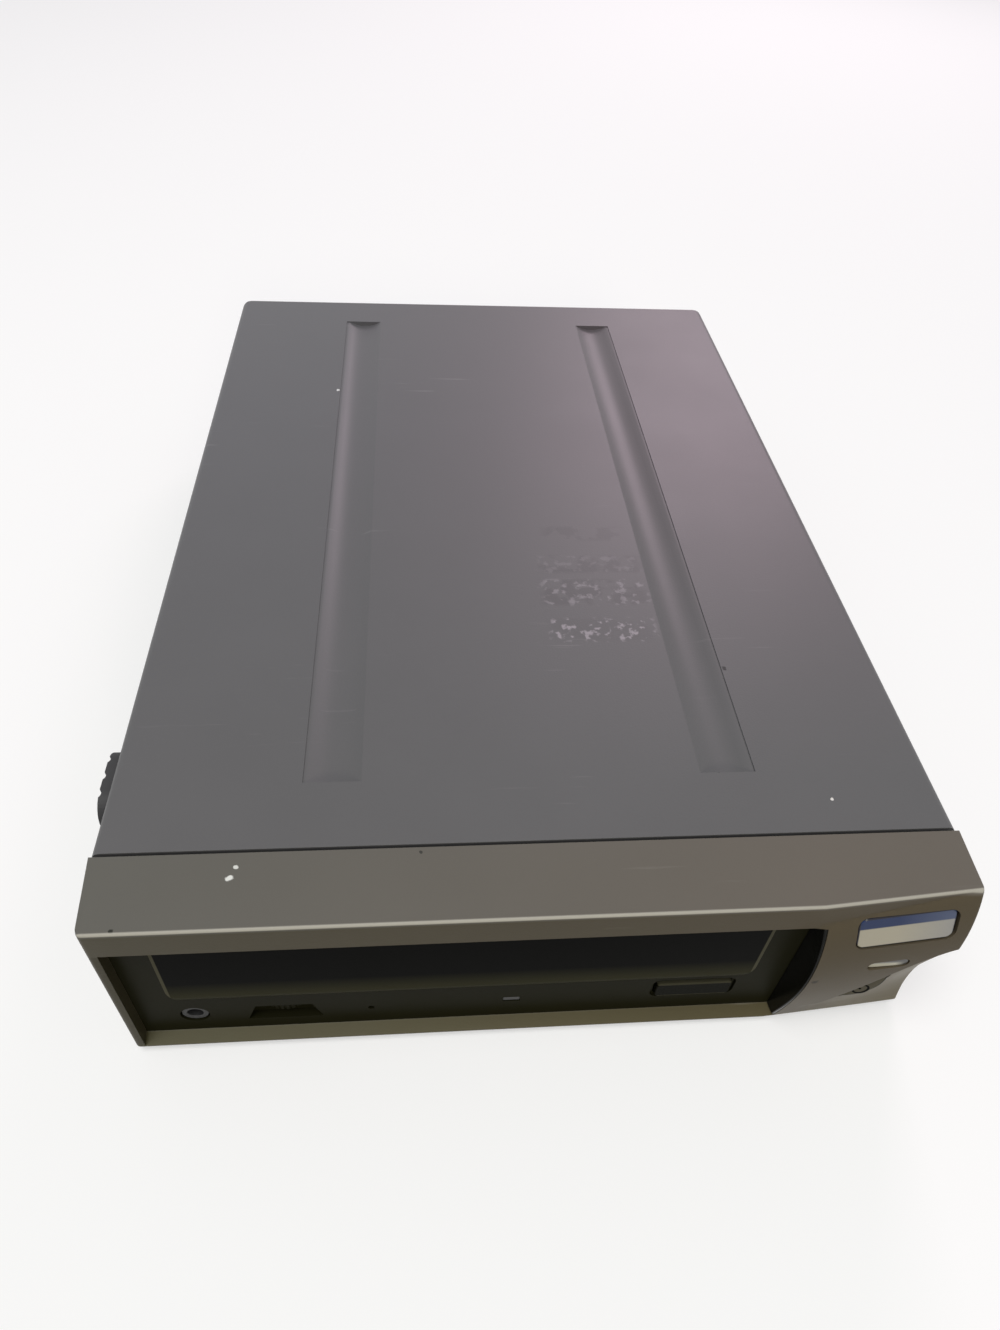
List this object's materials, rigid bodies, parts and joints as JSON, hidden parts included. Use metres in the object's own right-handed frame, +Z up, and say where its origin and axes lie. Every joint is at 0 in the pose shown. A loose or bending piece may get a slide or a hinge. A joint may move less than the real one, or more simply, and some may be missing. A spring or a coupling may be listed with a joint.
{
  "type": "external optical disc drive",
  "caption": "Desktop optical drive: low grey case with troughed cover, sculpted front panel, black tray drive, loading and pickup mechanism inside.",
  "frame": {"origin": "middle of the footprint, on the desk under the feet", "axes": "+X to the right seen from the front, +Y from the front to the back, +Z up"},
  "size_m": [0.1888, 0.2778, 0.0547],
  "materials": {
    "cover_plastic": "satin moulded",
    "bezel_plastic": "satin moulded",
    "base_plastic": "fine grain",
    "panel_steel": "plain rolled",
    "black_gloss": "polished",
    "label_clear": "polished over a two-tone backing",
    "lens_plastic": "frosted",
    "button_plastic": "satin",
    "board_green": "lacquered",
    "board_brown": "lacquered",
    "black_plastic": "fine grain",
    "foot_rubber": "matt",
    "screw_steel": "zinc plated",
    "coil_tape": "taped",
    "can_sleeve": "shrunk sleeve",
    "sink_aluminium": "plain",
    "socket_steel": "plated",
    "cable_grey": "flexible",
    "cable_red": "flexible",
    "drive_steel": "zinc plated sheet",
    "drive_black": "semi-gloss",
    "mechanism_black": "fine grain",
    "gear_white": "acetal",
    "belt_rubber": "matt",
    "motor_steel": "plated can",
    "rod_steel": "ground",
    "sled_metal": "die cast",
    "lens_glass": "coated"
  },
  "bodies": {
    "case": {"top_cover": "cover_plastic", "base_tray": "base_plastic", "rear_panel": "panel_steel", "front_bezel": "bezel_plastic", "opening_cheek": "black_gloss", "label_window": "label_clear", "indicator_lens": "lens_plastic", "control_board": "board_green", "power_switch": "black_plastic", "base_feet": "foot_rubber", "side_feet": "foot_rubber", "base_screws": "screw_steel", "rear_screws": "screw_steel", "fan_frame": "black_plastic", "fan_screws": "screw_steel", "power_inlet": "black_plastic", "psu_board": "board_brown", "psu_transformer": "coil_tape", "psu_capacitors": "can_sleeve", "psu_heatsink": "sink_aluminium", "bridge_board": "board_green", "bridge_chips": "black_plastic", "data_sockets": "socket_steel", "ribbon_cable": "cable_grey", "power_lead": "cable_red", "control_lead": "cable_grey", "drive_case": "drive_steel", "drive_pan": "drive_steel", "drive_bezel": "drive_black", "loading_frame": "mechanism_black", "loading_belt": "belt_rubber", "loading_motor": "motor_steel", "clamp_bridge": "drive_steel", "drive_board": "board_green", "drive_sockets": "black_plastic", "front_board": "board_green", "eject_switch": "black_plastic", "headphone_jack": "black_plastic", "volume_pot": "black_plastic"},
    "tray": {"tray_door": "drive_black", "disc_tray": "mechanism_black"},
    "loading_gear": {"loading_gear": "gear_white"},
    "pulley_gear": {"pulley_gear": "gear_white"},
    "motor_pulley": {"motor_pulley": "gear_white"},
    "lift_slider": {"lift_slider": "gear_white"},
    "lift": {"lift_frame": "mechanism_black", "lift_dampers": "belt_rubber", "sled_plate": "drive_steel", "spindle_motor": "motor_steel", "guide_rods": "rod_steel", "sled_motor": "motor_steel"},
    "turntable": {"turntable": "mechanism_black"},
    "sled": {"optical_sled": "sled_metal"},
    "lens": {"objective_lens": "lens_glass"},
    "lead_screw": {"lead_screw": "rod_steel"},
    "clamp_puck": {"clamp_puck": "gear_white"},
    "fan_rotor": {"fan_rotor": "black_plastic"},
    "power_button": {"power_button": "button_plastic"},
    "eject_button": {"eject_button": "drive_black"},
    "volume_wheel": {"volume_wheel": "drive_black"}
  },
  "joints": [
    {"name": "tray_slide", "type": "slide", "parent": "case", "child": "tray", "axis": [0, -1, 0], "range_m": [0, 0.132]},
    {"name": "loading_gear_turn", "type": "hinge", "parent": "case", "child": "loading_gear", "pos_m": [-0.0498, -0.10935, 0.0231], "axis": [0, 0, 1], "range_deg": [0, 505]},
    {"name": "pulley_gear_turn", "type": "hinge", "parent": "case", "child": "pulley_gear", "pos_m": [-0.0288, -0.10935, 0.0231], "axis": [0, 0, 1], "range_deg": [-1262, 0]},
    {"name": "motor_pulley_turn", "type": "hinge", "parent": "case", "child": "motor_pulley", "pos_m": [-0.0018, -0.10635, 0.0201], "axis": [0, 0, 1], "range_deg": [-4680, 0]},
    {"name": "lift_slide", "type": "slide", "parent": "case", "child": "lift_slider", "axis": [-1, 0, 0], "range_m": [0, 0.012]},
    {"name": "lift_tilt", "type": "hinge", "parent": "case", "child": "lift", "pos_m": [-0.0138, 0.01765, 0.0174], "axis": [1, 0, 0], "range_deg": [-4.8, 0]},
    {"name": "turntable_spin", "type": "hinge", "parent": "lift", "child": "turntable", "pos_m": [-0.0138, -0.06305, 0.02236], "axis": [0, -0.0837, 0.9965], "continuous": true},
    {"name": "sled_slide", "type": "slide", "parent": "lift", "child": "sled", "axis": [0, 0.9965, 0.0837], "range_m": [0, 0.032]},
    {"name": "lead_screw_turn", "type": "hinge", "parent": "lift", "child": "lead_screw", "pos_m": [0.0212, -0.02284, 0.02153], "axis": [0, 0.9965, 0.0837], "range_deg": [0, 3842]},
    {"name": "lens_focus", "type": "slide", "parent": "sled", "child": "lens", "axis": [0, -0.0837, 0.9965], "range_m": [0, 0.0006], "stiffness_N_per_m": 60},
    {"name": "clamp_puck_spin", "type": "hinge", "parent": "case", "child": "clamp_puck", "pos_m": [-0.0138, -0.06235, 0.0391], "axis": [0, 0, 1], "continuous": true},
    {"name": "fan_spin", "type": "hinge", "parent": "case", "child": "fan_rotor", "pos_m": [-0.0564, 0.12965, 0.0275], "axis": [0, 1, 0], "continuous": true},
    {"name": "power_button_press", "type": "slide", "parent": "case", "child": "power_button", "axis": [0, 1, 0], "range_m": [0, 0.0008], "stiffness_N_per_m": 500},
    {"name": "eject_button_press", "type": "slide", "parent": "case", "child": "eject_button", "axis": [0, 1, 0], "range_m": [0, 0.0008], "stiffness_N_per_m": 500},
    {"name": "volume_turn", "type": "hinge", "parent": "case", "child": "volume_wheel", "pos_m": [-0.0553, -0.12365, 0.0126], "axis": [0, 0, 1], "range_deg": [-135, 135]}
  ],
  "couplings": [
    {"joint": "loading_gear_turn", "follows": "tray_slide", "rad_per_m": 66.667},
    {"joint": "pulley_gear_turn", "follows": "tray_slide", "rad_per_m": -166.67},
    {"joint": "motor_pulley_turn", "follows": "tray_slide", "rad_per_m": -618.28},
    {"joint": "lift_tilt", "follows": "lift_slide", "rad_per_m": -6.9813},
    {"joint": "lead_screw_turn", "follows": "sled_slide", "rad_per_m": 2094.4}
  ]
}
